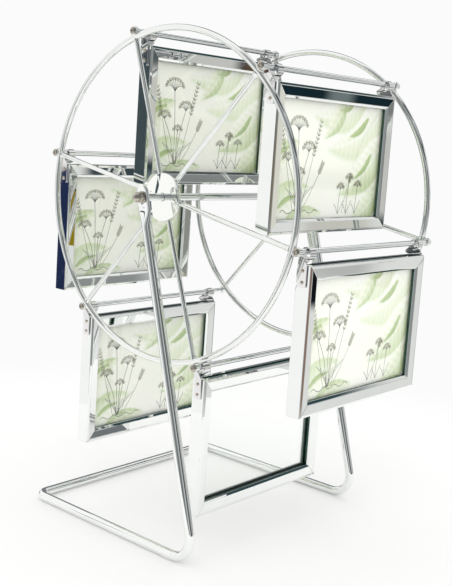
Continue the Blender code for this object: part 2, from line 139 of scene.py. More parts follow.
def to_mesh(name, shape, materials, crease=35):
    """Turn a bmesh into a smooth mesh that is sharp where it turns by more than the crease."""
    bmesh.ops.recalc_face_normals(shape, faces=shape.faces)
    mesh = bpy.data.meshes.new(name)
    shape.to_mesh(mesh)
    shape.free()
    for material in materials:
        mesh.materials.append(material)
    return smoothed(mesh, crease)


def add_object(name, data, place=(0, 0, 0), turn=0.0):
    """Put an object into the scene, turned about the vertical."""
    item = bpy.data.objects.new(name, data)
    bpy.context.scene.collection.objects.link(item)
    item.location = place
    item.rotation_euler.z = turn
    return item


def add_piece(name, mesh, body, replaced, place=(0, 0, 0), turn=0.0):
    """Add a piece of the object that rides on a body and stands for a node."""
    piece = add_object(name, mesh, place, turn)
    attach(piece, body)
    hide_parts(replaced)


def circle(sides, offset=0.0):
    """Return the cosines and sines of even steps round a circle, the first at a share of a step."""
    angles = [2 * math.pi * (side + offset) / sides for side in range(sides)]
    return [(math.cos(angle), math.sin(angle)) for angle in angles]


def skinned(rings, loop=False, shape=None):
    """Skin a bmesh over rings of points, and close its two ends unless the rings loop round."""
    if shape is None:
        shape = bmesh.new()
    rings = [[shape.verts.new(point) for point in ring] for ring in rings]
    for index, ring in enumerate(rings if loop else rings[:-1]):
        other = rings[(index + 1) % len(rings)]
        for side in range(len(ring)):
            after = (side + 1) % len(ring)
            shape.faces.new((ring[side], ring[after], other[after], other[side]))
    if not loop:
        shape.faces.new(rings[0][::-1])
        shape.faces.new(rings[-1])
    return shape


def turned(profile, sides=48, loop=False, centre=(0, 0, 0)):
    """Turn a profile of (x, radius) points about a line along X."""
    return skinned([[Vector(centre) + Vector((x, radius * across, radius * up))
                     for across, up in circle(sides, 0.5)] for x, radius in profile], loop)


def combined(mesh, tools, operation):
    """Unite a mesh with others, or cut them from it, and return the result."""
    target = add_object("target", mesh)
    cutters = [add_object("cutter", tool) for tool in tools]
    for cutter in cutters:
        step = target.modifiers.new("step", "BOOLEAN")
        step.operation = operation
        step.solver = "EXACT"
        step.object = cutter
    graph = bpy.context.evaluated_depsgraph_get()
    graph.update()
    result = bpy.data.meshes.new_from_object(target.evaluated_get(graph))
    for item in [target] + cutters:
        bpy.data.objects.remove(item)
    return result


def ease(share):
    """Return a share from 0 to 1 that starts and ends gently."""
    return share * share * (3 - 2 * share)


def bend(before, corner, after, radius):
    """Return points along the arc that rounds a corner."""
    incoming = (corner - before).normalized()
    outgoing = (after - corner).normalized()
    turn = incoming.angle(outgoing)
    start = corner - incoming * radius * math.tan(turn / 2)
    centre = corner + (outgoing - incoming).normalized() * radius / math.cos(turn / 2)
    axis = incoming.cross(outgoing)
    return [centre + Matrix.Rotation(turn * step / BEND_STEPS, 3, axis) @ (start - centre)
            for step in range(BEND_STEPS + 1)]


def tube_section(flatness, half_width):
    """Return the tube's section, from round (flatness 0) to pressed flat (flatness 1)."""
    points = []
    for across, along in circle(TUBE_SIDES, 0.5):
        pressed = max(-1.0, min(1.0, across / math.cos(math.pi / 4)))
        flat = Vector((EYE_THICKNESS / 2 * pressed, half_width * along))
        points.append(Vector((across, along)).lerp(flat / (TUBE / 2), flatness) * TUBE / 2)
    return points


def stand_mesh(material):
    """Sweep the tube along the near leg and base, across the rear bar, and up the far leg."""
    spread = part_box("stand_tube")[1].x - TUBE / 2
    eye = Vector((-spread, 0, HUB.z))
    foot = Vector((-spread, -FRONT_REACH, TUBE / 2))
    rear = Vector((-spread, REAR_REACH, TUBE / 2))
    rear_far = Vector((spread, REAR_REACH, TUBE / 2))
    down = (foot - eye).normalized()
    radius = EYE_WIDTH / 2
    stations = []
    for degrees in (88, 80, 70, 60, 50, 40, 30, 20, 10, 0):
        angle = math.radians(degrees)
        below = radius - EYE_TOP - radius * math.sin(angle)
        stations.append((eye + down * below, 1.0, radius * math.cos(angle)))
    for step in range(NECK_STEPS + 1):
        share = step / NECK_STEPS
        stations.append((eye + down * (EYE_FLAT + EYE_NECK * share), 1 - ease(share), radius))
    for point in bend(eye, foot, rear, FRONT_BEND) + bend(foot, rear, rear_far, REAR_BEND):
        stations.append((point, 0.0, 0.0))
    stations += [(Vector((-point.x, point.y, point.z)), flatness, half_width)
                 for point, flatness, half_width in stations[::-1]]
    rings = []
    across, heading = Vector((1, 0, 0)), down.copy()
    for index, (point, flatness, half_width) in enumerate(stations):
        before = stations[max(index - 1, 0)][0]
        after = stations[min(index + 1, len(stations) - 1)][0]
        tangent = ((point - before).normalized() + (after - point).normalized()).normalized()
        across = heading.rotation_difference(tangent) @ across
        heading = tangent
        along = tangent.cross(across)
        rings.append([point + across * spot.x + along * spot.y
                      for spot in tube_section(flatness, half_width)])
    tube = to_mesh("stand_tube_plated", skinned(rings), [material])
    reach = 2 * spread
    hole = turned([(-reach, EYE_HOLE / 2), (reach, EYE_HOLE / 2)], EYE_HOLE_SIDES, centre=(0, 0, HUB.z))
    return combined(tube, [to_mesh("hole", hole, [])], "DIFFERENCE")


HUB = centre_of("axle_tube")
stand_chrome = bright_plate("chrome_plate_on_bent_tube", "#FBFCFB", "#F0F2F1", 0.02, 0.06, 0.003 * MM)
add_piece("stand_tube_plated", stand_mesh(stand_chrome), "stand", "stand_tube")

# The axle is a plated tube between the two eyes. A bolt goes into each end through the eye, and
# carries a flat washer and a domed hexagon nut outside. Washers and nuts are bright nickel plated.

WASHER = 9.6 * MM
WASHER_THICKNESS = 0.8 * MM
NUT_FLATS = 8.0 * MM
NUT_HEIGHT = 3.8 * MM
NUT_SEAT_CHAMFER = 0.35 * MM
NUT_TOP_CHAMFER = 0.7 * MM
NUT_SIDES = 72
DOME_RADIUS = 3.7 * MM
AXLE_BORE = 3.8 * MM
EDGE = 0.25 * MM            # chamfer on turned edges


def domed(start, height, radius, angles):
    """Return a profile that domes towards -X, from a start by a height, at angles in degrees."""
    tilts = [math.radians(degrees) for degrees in angles]
    return [(-(start + height * math.sin(tilt)), radius * math.cos(tilt)) for tilt in tilts]


def axle_mesh(material):
    """Turn the axle's tube, with a small chamfer at each end."""
    low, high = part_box("axle_tube")
    outer, inner = (high.z - low.z) / 2, AXLE_BORE / 2
    profile = [(low.x, outer - EDGE), (low.x + EDGE, outer), (high.x - EDGE, outer), (high.x, outer - EDGE)]
    profile += [(high.x, inner), (low.x, inner)]
    return to_mesh("axle_tube_plated", turned(profile, loop=True), [material])


def washer_mesh(material):
    """Turn a flat washer that faces -X from its seat at X = 0."""
    profile = [(-WASHER_THICKNESS, AXLE_BORE / 2), (-WASHER_THICKNESS, WASHER / 2 - EDGE),
               (-WASHER_THICKNESS + EDGE, WASHER / 2), (0, WASHER / 2), (0, AXLE_BORE / 2)]
    return to_mesh("washer", turned(profile, loop=True), [material])


def nut_mesh(material):
    """Shape a domed nut that faces -X from its seat at X = 0: chamfered hexagon, then a dome."""
    chamfer = NUT_FLATS / 2 * 1.02
    corner = NUT_FLATS / 2 / math.cos(math.pi / 6)
    rings = []
    for reach, share in ((0.0, 0.0), (NUT_SEAT_CHAMFER, 1.0), (NUT_HEIGHT - NUT_TOP_CHAMFER, 1.0),
                         (NUT_HEIGHT, 0.0)):
        limit = chamfer + (corner - chamfer) * share
        ring = []
        for side, (up, across) in enumerate(circle(NUT_SIDES)):
            apart = (2 * math.pi * side / NUT_SIDES + math.pi / 6) % (math.pi / 3) - math.pi / 6
            radius = min(NUT_FLATS / 2 / math.cos(apart), limit)
            ring.append((-reach, radius * across, radius * up))
        rings.append(ring)
    for x, radius in domed(NUT_HEIGHT, DOME_RADIUS, DOME_RADIUS, (0, 12, 24, 36, 48, 60, 70, 80, 87)):
        rings.append([(x, radius * across, radius * up) for up, across in circle(NUT_SIDES)])
    return to_mesh("domed_nut", skinned(rings), [material], crease=25)


bright_nickel = bright_plate("bright_nickel_on_small_fasteners", "#C9C4BA", "#B2ABA0", 0.04, 0.12, 0.004 * MM)
axle_chrome = bright_plate("chrome_plate_on_axle", "#F2F3F3", "#E6E9E9", 0.03, 0.08, 0.004 * MM)
add_piece("axle_tube_plated", axle_mesh(axle_chrome), "stand", "axle_tube", (0, 0, HUB.z))
washer, nut = washer_mesh(bright_nickel), nut_mesh(bright_nickel)
for side_name, outward in (("near", -1), ("far", 1)):
    node = f"axle_bolt_{side_name}"
    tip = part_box(node)[0 if outward < 0 else 1].x
    seat = tip - outward * (DOME_RADIUS + NUT_HEIGHT + WASHER_THICKNESS)
    for piece_name, mesh, lift in (("washer", washer, 0.0), ("nut", nut, WASHER_THICKNESS)):
        add_piece(f"axle_{piece_name}_{side_name}", mesh, "stand", node,
                  (seat + lift * outward, 0, centre_of(node).z), 0.0 if outward < 0 else math.pi)

# Each wheel side is a welded piece: a hoop of wire, six spokes, a polished hub disc outside them, and
# six bosses that take the cross rods. It is ground at the welds, polished and plated as one.

RODS = 6
HOOP_WIRE = 5.0 * MM
HOOP_STEPS = 240
WIRE_SIDES = 28
SPOKE = 4.0 * MM
SPOKE_FLARE = 1.4 * MM      # length over which a spoke widens into its weld at the hoop
DISC = 38.6 * MM
DISC_THICKNESS = 1.6 * MM
DISC_BORE = 6.8 * MM
DISC_EDGE = 0.5 * MM        # radius of the rounded rim
DISC_BREAK = 0.2 * MM       # chamfer on the rim's inner edge
BOSS = 6.8 * MM
BOSS_LENGTH = 4.2 * MM
BOSS_BORE = 2.6 * MM
BOSS_EDGE = 0.4 * MM
BOSS_OFFSET = 5.2 * MM      # from the hoop's centre line out to the rod's centre
WELD_BITE = 0.4 * MM
WELD_SIZE = (2.75 * MM, 3.9 * MM, 1.9 * MM)     # half sizes of the bead between hoop and boss
SPOT_WELD = 1.5 * MM        # width of the mark that a spot weld leaves on the disc
SPOT_DEPTH = 0.15 * MM
SPOT_CIRCLE = 15.6 * MM     # from the axle to the spot welds
MOP_RING = 0.5 * MM         # between the rings that the mop leaves, coarser than real so that they show
WELDED_CREASE = 30          # degrees
ROD_PLACES = [centre_of(f"cross_rod_{number}") - HUB for number in range(1, RODS + 1)]
for place in ROD_PLACES:
    place.x = 0
HOOP_RADIUS = ROD_PLACES[0].length - BOSS_OFFSET


def hoop_mesh(material):
    """Bend a round ring of wire about X."""
    rings = []
    for across, up in circle(HOOP_STEPS):
        outward = Vector((0, across, up))
        rings.append([outward * (HOOP_RADIUS + HOOP_WIRE / 2 * away) + Vector((HOOP_WIRE / 2 * aside, 0, 0))
                      for away, aside in circle(WIRE_SIDES)])
    return to_mesh("hoop", skinned(rings, loop=True), [material])


def spoke_mesh(outward, material):
    """Run a spoke from the hub out to the hoop, widening into its weld."""
    end = outward * (HOOP_RADIUS - HOOP_WIRE / 2)
    flare = SPOKE_FLARE / end.length
    across = outward.cross(Vector((1, 0, 0))).normalized()
    other = outward.cross(across)
    rings = []
    # each ring's share of the way out, and its width as a share of the spoke's
    for share, swell in ((0.065, 0.94), (0.07, 1), (1 - 2.0 * flare, 1), (1 - flare, 1.08),
                         (1 - 0.4 * flare, 1.22), (1 + 0.4 * flare, 1.34)):
        rings.append([end * share + (across * aside + other * along) * SPOKE * swell / 2
                      for aside, along in circle(WIRE_SIDES)])
    return to_mesh("spoke", skinned(rings), [material])


def boss_mesh(spot, material):
    """Turn a boss, chamfered outside and bored for the screw."""
    half, radius, bore = BOSS_LENGTH / 2, BOSS / 2, BOSS_BORE / 2
    profile = [(-half, bore), (-half, radius - BOSS_EDGE), (-half + BOSS_EDGE, radius),
               (half - BOSS_EDGE, radius), (half, radius - BOSS_EDGE), (half, bore)]
    return to_mesh("boss", turned(profile, 40, loop=True, centre=spot), [material])


def weld_mesh(outward, material):
    """Lay the bead of weld that fills the notch between the hoop and a boss."""
    shape = bmesh.new()
    bmesh.ops.create_uvsphere(shape, u_segments=28, v_segments=16, radius=1.0)
    sideways = outward.cross(Vector((1, 0, 0)))
    basis = Matrix([way * size for way, size in zip((Vector((1, 0, 0)), sideways, outward), WELD_SIZE)])
    middle = Matrix.Translation(outward * (HOOP_RADIUS + BOSS_OFFSET * 0.42))
    bmesh.ops.transform(shape, matrix=middle @ basis.transposed().to_4x4(), verts=shape.verts)
    return to_mesh("weld", shape, [material])


def disc_mesh(outwards, material):
    """Turn the hub disc, its rim rounded over, and press the spot welds' marks into it."""
    inner_face = -SPOKE / 2 + WELD_BITE
    outer_face = inner_face - DISC_THICKNESS
    profile = [(inner_face, DISC_BORE / 2), (inner_face, DISC / 2 - DISC_BREAK),
               (inner_face - DISC_BREAK, DISC / 2)]
    for degrees in (0, 30, 60, 90):
        tilt = math.radians(degrees)
        profile.append((outer_face + DISC_EDGE * (1 - math.sin(tilt)),
                        DISC / 2 - DISC_EDGE * (1 - math.cos(tilt))))
    profile += [(outer_face, DISC_BORE / 2 + EDGE), (outer_face + EDGE, DISC_BORE / 2)]
    mark = [(outer_face - SPOT_DEPTH - 0.1 * MM, 0.02 * MM), (outer_face - SPOT_DEPTH, SPOT_WELD / 2 * 0.7),
            (outer_face + SPOT_DEPTH, SPOT_WELD / 2)]
    marks = [to_mesh("mark", turned(mark, 20, centre=outward * SPOT_CIRCLE), [material])
             for outward in outwards]
    return combined(to_mesh("disc", turned(profile, 128, loop=True), [material]), marks, "DIFFERENCE")


def joined(name, meshes):
    """Return one mesh that holds several of one material."""
    shape = bmesh.new()
    for mesh in meshes:
        shape.from_mesh(mesh)
    result = bpy.data.meshes.new(name)
    shape.to_mesh(result)
    shape.free()
    result.materials.append(meshes[0].materials[0])
    return result


def mirrored(mesh, crease):
    """Return a smooth copy of a mesh, mirrored across X = 0."""
    shape = bmesh.new()
    shape.from_mesh(mesh)
    bmesh.ops.scale(shape, vec=(-1, 1, 1), verts=shape.verts)
    bmesh.ops.reverse_faces(shape, faces=shape.faces)
    copy = bpy.data.meshes.new(mesh.name + "_far")
    shape.to_mesh(copy)
    shape.free()
    for material in mesh.materials:
        copy.materials.append(material)
    return smoothed(copy, crease)


def mirror_polish(name):
    """The hub disc's mirror: plate over a buffed face, with fine rings left by the mop."""
    material, tree, shader = new_material(name)
    spot = add_node(tree, "TexCoord", output="Object")
    axes = add_node(tree, "SeparateXYZ", {"Vector": spot}).node.outputs
    flat = add_node(tree, "CombineXYZ", {"X": axes["Y"], "Y": axes["Z"]})
    radius = add_node(tree, "VectorMath", {0: flat}, "Value", operation="LENGTH")
    rings = add_node(tree, "TexNoise", {"W": radius, "Scale": 1 / MOP_RING, "Detail": 2.0},
                     noise_dimensions="1D")
    gloss = add_node(tree, "MapRange", {"Value": rings, "To Min": 0.01, "To Max": 0.06})
    connect(tree, shader, {"Metallic": 1.0, "Base Color": to_linear("#FAFBF8"), "Roughness": gloss})
    return material


wire_chrome = bright_plate("chrome_plate_on_wire", "#F8F9F7", "#EBEDEB", 0.02, 0.08, 0.002 * MM)
hub_mirror = mirror_polish("chrome_mirror_on_hub_disc")
outwards = [spot.normalized() for spot in ROD_PLACES]
groups = {"hoop": hoop_mesh(wire_chrome),
          "spokes": joined("spokes", [spoke_mesh(outward, wire_chrome) for outward in outwards]),
          "bosses": joined("bosses", [boss_mesh(spot, wire_chrome) for spot in ROD_PLACES]),
          "welds": joined("welds", [weld_mesh(outward, wire_chrome) for outward in outwards]),
          "hub_disc": disc_mesh(outwards, hub_mirror)}
for side_name in ("near", "far"):
    node = f"wheel_side_{side_name}"
    for group, mesh in groups.items():
        shown = smoothed(mesh, WELDED_CREASE) if side_name == "near" else mirrored(mesh, WELDED_CREASE)
        add_piece(f"wheel_{group}_{side_name}", shown, "wheel", node,
                  (centre_of(node).x, 0, HUB.z))

# Six straight rods join the two wheel sides and carry the frames. Each end is bored and tapped, and a
# domed cross-head screw goes into it through the boss.

ROD_EDGE = 0.35 * MM
ROD_FACETS = 12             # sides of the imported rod, whose corners lie on this round one
SCREW_HEAD = 6.4 * MM
SCREW_HEAD_HEIGHT = 1.6 * MM
SCREW_RIM = 0.25 * MM       # straight part of the head, below its dome
SCREW_CREASE = 30           # degrees
SLOT_LENGTH = 3.4 * MM
SLOT_WIDTH = 0.8 * MM
SLOT_DEPTH = 1.1 * MM


def box_shape(low, high):
    """Return a box between two corners."""
    shape = bmesh.new()
    bmesh.ops.create_cube(shape, size=1.0)
    bmesh.ops.scale(shape, vec=Vector(high) - Vector(low), verts=shape.verts)
    bmesh.ops.translate(shape, vec=(Vector(high) + Vector(low)) / 2, verts=shape.verts)
    return shape


def screw_mesh(material):
    """Turn a domed head that faces -X from its seat at X = 0, and cut its cross."""
    radius = SCREW_HEAD / 2
    profile = [(0.3 * MM, radius * 0.5), (0.0, radius * 0.96)]
    profile += domed(SCREW_RIM, SCREW_HEAD_HEIGHT - SCREW_RIM, radius, range(0, 90, 10))
    cuts = []
    for size_y, size_z in ((SLOT_LENGTH, SLOT_WIDTH), (SLOT_WIDTH, SLOT_LENGTH)):
        slot = box_shape((-SCREW_HEAD_HEIGHT - 1 * MM, -size_y / 2, -size_z / 2),
                         (-SCREW_HEAD_HEIGHT + SLOT_DEPTH, size_y / 2, size_z / 2))
        cuts.append(to_mesh("cross", slot, [material]))
    head = to_mesh("screw_head", turned(profile), [material])
    return smoothed(combined(head, cuts, "DIFFERENCE"), SCREW_CREASE)


def rod_mesh(low, high, material):
    """Turn a rod about its own centre, with its ends chamfered."""
    half, radius = (high.x - low.x) / 2, (high.z - low.z) / 2 / math.cos(math.pi / ROD_FACETS)
    profile = [(-half, radius * 0.4), (-half, radius - ROD_EDGE), (-half + ROD_EDGE, radius),
               (half - ROD_EDGE, radius), (half, radius - ROD_EDGE), (half, radius * 0.4)]
    return to_mesh("cross_rod", turned(profile, 32), [material])


screw = screw_mesh(bright_nickel)
far_screw = mirrored(screw, SCREW_CREASE)
rod_chrome = bright_plate("chrome_plate_on_rods", "#FAFBFC", "#EFF1F3", 0.02, 0.06, 0.002 * MM)
for number in range(1, RODS + 1):
    low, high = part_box(f"cross_rod_{number}")
    place = (low + high) / 2
    add_piece(f"cross_rod_{number}_plated", rod_mesh(low, high, rod_chrome), "wheel",
              f"cross_rod_{number}", place)
    for side_name, mesh in (("near", screw), ("far", far_screw)):
        node = f"rod_screw_{number}_{side_name}"
        low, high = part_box(node)
        seat = low.x + SCREW_HEAD_HEIGHT if side_name == "near" else high.x - SCREW_HEAD_HEIGHT
        add_piece(node + "_head", mesh, "wheel", node, (seat, place.y, place.z))

# Each frame's moulding is a chromed channel section, mitred at four corners. Its face has a narrow
# outer facet, a broad facet that slopes in, and a lip. The top edge is slotted for glass and print.

HANG_GAP = 10.0 * MM        # from the rod's centre down to the frame's top edge
CHANNEL_WALL = 4.9 * MM     # metal outside the channel that holds the glass
CHANNEL_DEPTH = 4.6 * MM
MOULDING_FACE = 11.2 * MM
OUTER_FACET = 2.0 * MM
OUTER_DROP = 0.8 * MM
MAIN_DROP = 0.7 * MM
LIP = 2.0 * MM
LIP_DROP = 1.7 * MM
MOULDING_EDGE = 0.28 * MM   # radius on the section's edges
MOULDING_CREASE = 3         # degrees, so that each facet reflects as a flat strip
DULL_SHADE_PATCH = 9 * MM         # across a patch of the channel's dark tones, dull plate with painted shade
SEAM = 0.05 * MM            # half the hairline gap at a mitre
SEAM_CHAMFER = 0.18 * MM
FRAME_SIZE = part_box("frame_1_moulding")[1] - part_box("frame_1_moulding")[0]
FRAME_TOP = -HANG_GAP
FRAME_FOOT = -HANG_GAP - FRAME_SIZE.z


def rounded(points, radii, steps):
    """Round each corner of a closed outline to its radius, and keep it sharp where that is 0."""
    result = []
    for index, point in enumerate(points):
        corner = Vector(point)
        before = Vector(points[index - 1]) - corner
        after = Vector(points[(index + 1) % len(points)]) - corner
        reach = min(radii[index], before.length * 0.45, after.length * 0.45)
        if not reach:
            result.append(corner)
            continue
        start, end = corner + before.normalized() * reach, corner + after.normalized() * reach
        for step in range(steps + 1):
            share = step / steps
            result.append(start.lerp(corner, share).lerp(corner.lerp(end, share), share))
    return result


def moulding_section():
    """Return the section as (inset from the outer edge, depth) points, its edges rounded."""
    half = FRAME_SIZE.y / 2
    slope_end = half - MAIN_DROP
    face = [(0.0, half - OUTER_DROP), (OUTER_FACET, half), (MOULDING_FACE - LIP, slope_end),
            (MOULDING_FACE, slope_end - LIP_DROP)]
    outline = face + [(inset, -depth) for inset, depth in face[::-1]]
    return rounded(outline, [MOULDING_EDGE] * len(outline), 3)


def mitred_members():
    """Run the section along four members, and break their edges a little at the mitres."""
    section = moulding_section()
    middle = Vector((MOULDING_FACE / 2, 0))
    shrunk = [point + (middle - point).normalized() * SEAM_CHAMFER for point in section]
    corners = [(-1, -1), (1, -1), (1, 1), (-1, 1)]
    shape = bmesh.new()
    for index, start in enumerate(corners):
        end = corners[(index + 1) % 4]
        heading = Vector((end[0] - start[0], 0, end[1] - start[1])) / 2
        rings = []
        for corner, sign in ((start, 1), (end, -1)):
            pair = []
            for outline, back in ((shrunk, SEAM), (section, SEAM + SEAM_CHAMFER)):
                pair.append([Vector((corner[0] * (FRAME_SIZE.x / 2 - point.x), point.y,
                                     corner[1] * (FRAME_SIZE.z / 2 - point.x) + FRAME_TOP - FRAME_SIZE.z / 2))
                             + heading * sign * back for point in outline])
            rings += pair[::sign]
        skinned(rings, shape=shape)
    return shape


def moulding_mesh(plate, channel_steel_and_shade):
    """Cut the channel and the top slot from the mitred members; channel and inner return get dull plate and
    painted shade.
    """
    body = to_mesh("moulding", mitred_members(), [plate, channel_steel_and_shade])
    reach = FRAME_SIZE.x / 2 - CHANNEL_WALL
    channel = box_shape((-reach, -CHANNEL_DEPTH / 2, FRAME_FOOT + CHANNEL_WALL),
                        (reach, CHANNEL_DEPTH / 2, FRAME_TOP + CHANNEL_WALL))
    result = combined(body, [to_mesh("channel", channel, [plate, channel_steel_and_shade])], "DIFFERENCE")
    smoothed(result, MOULDING_CREASE)
    cut_depth = CHANNEL_DEPTH / 2 + 0.02 * MM
    return_depth = FRAME_SIZE.y / 2 - MAIN_DROP - LIP_DROP - 0.1 * MM
    # The channel and the lip's inner return take the dark tone: dull plate, with painted shade and painted
    # reflection where the glass meets the moulding.
    for face in result.polygons:
        centre = face.center
        inside = (abs(centre.x) < FRAME_SIZE.x / 2 - 1 * MM and
                  FRAME_FOOT + 1 * MM < centre.z < FRAME_TOP - 0.3 * MM)
        in_channel = abs(centre.y) < cut_depth
        at_return = abs(centre.y) < return_depth and abs(face.normal.y) < 0.3
        face.material_index = 1 if inside and (in_channel or at_return) else 0
    return result


def dull_steel_and_painted_shade(name):
    """Thin, dull plate inside the channel, where no mop reaches, a little rough. Its dark greenish tone is
    painted shade of the gap and painted reflection of the glass.
    """
    material, tree, shader = new_material(name)
    spot = add_node(tree, "TexCoord", output="Object")
    cloud = add_node(tree, "TexNoise", {"Vector": spot, "Scale": 1 / DULL_SHADE_PATCH, "Detail": 4.0})
    tone = add_node(tree, "Mix", {"Factor": cloud, FIRST: to_linear("#2A4A42"), SECOND: to_linear("#4C645C")},
                    MIXED, data_type="RGBA")
    gloss = add_node(tree, "MapRange", {"Value": cloud, "To Min": 0.22, "To Max": 0.42})
    connect(tree, shader, {"Metallic": 0.9, "Base Color": tone, "Roughness": gloss})
    return material


moulding_chrome = bright_plate("chrome_plate_on_moulding", "#F8F9F8", "#EEF0EF", 0.01, 0.05, 0.0015 * MM)
# The channel's dark greenish material carries painted shade and painted reflection.
moulding = moulding_mesh(moulding_chrome, dull_steel_and_painted_shade("dull_plate_and_painted_shade_in_channel"))
PIVOTS = []
for number in range(1, RODS + 1):
    node = f"frame_{number}_moulding"
    PIVOTS.append(centre_of(node))
    PIVOTS[-1].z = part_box(node)[1].z + HANG_GAP
    add_piece(node + "_plated", moulding, f"frame_{number}", node, PIVOTS[-1])

# Two panes of clear float glass stand in each frame's channel. Seen end on, their cut edges are a deep
# bottle green. The edges are ground a little so that they don't cut the fingers.

PANE_ARRIS = 0.2 * MM
PANE_CREASE = 20            # degrees
GLASS_IOR = 1.52
FILM_SIZE = 14 * MM         # across a patch of the faint film on the glass
GRIND_SIZE = 3 * MM         # length of a streak in the ground edge


def clear_glass(name):
    """Float glass: clear and smooth, with a faint film. It lets light and shadow straight through."""
    material, tree, shader = new_material(name)
    spot = add_node(tree, "TexCoord", output="Object")
    film = add_node(tree, "TexNoise", {"Vector": spot, "Scale": 1 / FILM_SIZE, "Detail": 4.0})
    gloss = add_node(tree, "MapRange", {"Value": film, "From Min": 0.5, "From Max": 0.8,
                                        "To Min": 0.0, "To Max": 0.02})
    connect(tree, shader, {"Base Color": to_linear("#FDFEFD"), "IOR": GLASS_IOR, "Transmission Weight": 1.0,
                           "Roughness": gloss})
    ray = add_node(tree, "LightPath").node.outputs
    soft = add_node(tree, "Math", {0: ray["Is Shadow Ray"], 1: ray["Is Diffuse Ray"]}, operation="MAXIMUM")
    through = add_node(tree, "BsdfTransparent", {"Color": to_linear("#FFFFFF")})
    mix = add_node(tree, "MixShader", {"Fac": soft, 1: shader.outputs["BSDF"], 2: through})
    connect(tree, tree.nodes["Material Output"], {"Surface": mix})
    return material


def glass_edge(name):
    """The cut and ground edge of float glass, where the iron in it shows as dark green."""
    material, tree, shader = new_material(name)
    spot = add_node(tree, "TexCoord", output="Object")
    streak = add_node(tree, "TexNoise", {"Vector": spot, "Scale": 1 / GRIND_SIZE, "Detail": 4.0})
    tone = add_node(tree, "Mix", {"Factor": streak, FIRST: to_linear("#0F463A"),
                                  SECOND: to_linear("#2E7461")}, MIXED, data_type="RGBA")
    gloss = add_node(tree, "MapRange", {"Value": streak, "To Min": 0.15, "To Max": 0.4})
    connect(tree, shader, {"Base Color": tone, "Roughness": gloss, "IOR": GLASS_IOR})
    return material


def pane_mesh(size, clear, edge):
    """Return a pane about its own centre, its arrises taken off, with green edges."""
    shape = box_shape(-size / 2, size / 2)
    bmesh.ops.bevel(shape, geom=shape.edges, offset=PANE_ARRIS, segments=1, affect="EDGES")
    mesh = to_mesh("pane", shape, [clear, edge], PANE_CREASE)
    for face in mesh.polygons:
        face.material_index = 0 if abs(face.normal.y) > 0.9 else 1
    return mesh


low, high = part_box("frame_1_glass_front")
pane = pane_mesh(high - low, clear_glass("clear_float_glass"), glass_edge("green_glass_edge"))
for number in range(1, RODS + 1):
    for face_name in ("front", "back"):
        node = f"frame_{number}_glass_{face_name}"
        add_piece(node + "_pane", pane, f"frame_{number}", node, centre_of(node))

# A sheet of photo paper stands between the panes of five frames. It is printed on both faces with a
# soft picture of broad garden leaves in pale greens and cream, and fine pen drawings of wild plants.

LEAVES = (
    # root and tip in mm from the lower left corner, half width in mm, light and shaded colours
    ((152, 99), (72, 62), 19, "#FEFEF8", "#DCE7BE"),
    ((124, 104), (50, 88), 14, "#FEFEF9", "#D8E4BA"),
    ((154, 74), (90, 26), 17, "#FCFDF2", "#BFD396"),
    ((154, 36), (110, 2), 12, "#F7FAE6", "#A9C47C"),
    ((-2, 6), (52, 30), 13, "#FCFDF2", "#C9DCA6"),
    ((-2, 40), (34, 66), 10, "#FAFBEC", "#B4CC88"),
    ((92, 104), (66, 70), 8, "#F8FAE8", "#A9C37E"),
    ((16, -2), (70, 10), 7, "#F7FAE6", "#B9D092"),
    ((128, 90), (100, 72), 3.0, "#B9CC8E", "#8FAC66"),
    ((136, 60), (112, 38), 2.6, "#B4C98A", "#86A45C"),
    ((106, 101), (84, 93), 2.2, "#BFD096", "#93AE6C"),
    ((4, 52), (24, 62), 2.0, "#B9CC8E", "#8CAA64"),
    ((10, 14), (36, 24), 2.2, "#BACD90", "#8FAC68"),
)
LEAF_BOW = 0.10             # how far a leaf bows to one side, as a share of its length
RIB = 0.9                   # mm, half the width of a leaf's pale rib
SHADOW_SHIFT = (1.6, 1.8)   # mm, from a leaf to its soft shadow, leftwards and down
PAPER = "#FDFDF5"
WASH = "#F3F6E4"            # the faint green wash over the paper
GRID = 1.2                  # mm between the points that carry the soft picture
PEN = 0.5                   # mm, the width of a pen line
DOT_SIDES = 8
PEARL = 0.6 * MM            # the paper's pearl grain, coarser than real so that it shows
INK_GRAIN = 1.5 * MM        # length over which a pen line breaks up
INK_LIFT = 0.03 * MM
DOT_LIFT = 1.02             # a dot's distance from the sheet's middle, as a share of a line's


def tones_of(colour):
    """Return an sRGB hex colour as an array of linear red, green and blue."""
    return np.array(to_linear(colour)[:3])


def leaf_layer(x, y, leaf):
    """Return how far a leaf covers each point, and its colour there."""
    root, tip, half_width, light, shade = leaf
    run = np.array(tip, float) - np.array(root, float)
    length = np.hypot(*run)
    unit = run / length
    along = ((x - root[0]) * unit[0] + (y - root[1]) * unit[1]) / length
    inside = np.clip(along, 0, 1)
    bow = LEAF_BOW * length * np.sin(math.pi * inside)
    side = (y - root[1]) * unit[0] - (x - root[0]) * unit[1] - bow
    width = half_width * np.sin(math.pi * inside ** 0.8) ** 0.8 + 1e-6
    cover = np.clip((1.06 - np.abs(side) / width) / 0.16, 0, 1) * np.clip(along / 0.05, 0, 1)
    cover = cover * np.clip((1 - along) / 0.04, 0, 1)
    veins = 0.10 * np.sin(along * length * 0.9 - np.abs(side) * 0.55)
    darker = np.clip(0.42 + 0.42 * side / width + veins, 0, 1)
    rib = np.exp(-(side / RIB) ** 2) * 0.6
    darker = (darker * (1 - rib))[..., None]
    return cover[..., None], tones_of(light) * (1 - darker) + tones_of(shade) * darker


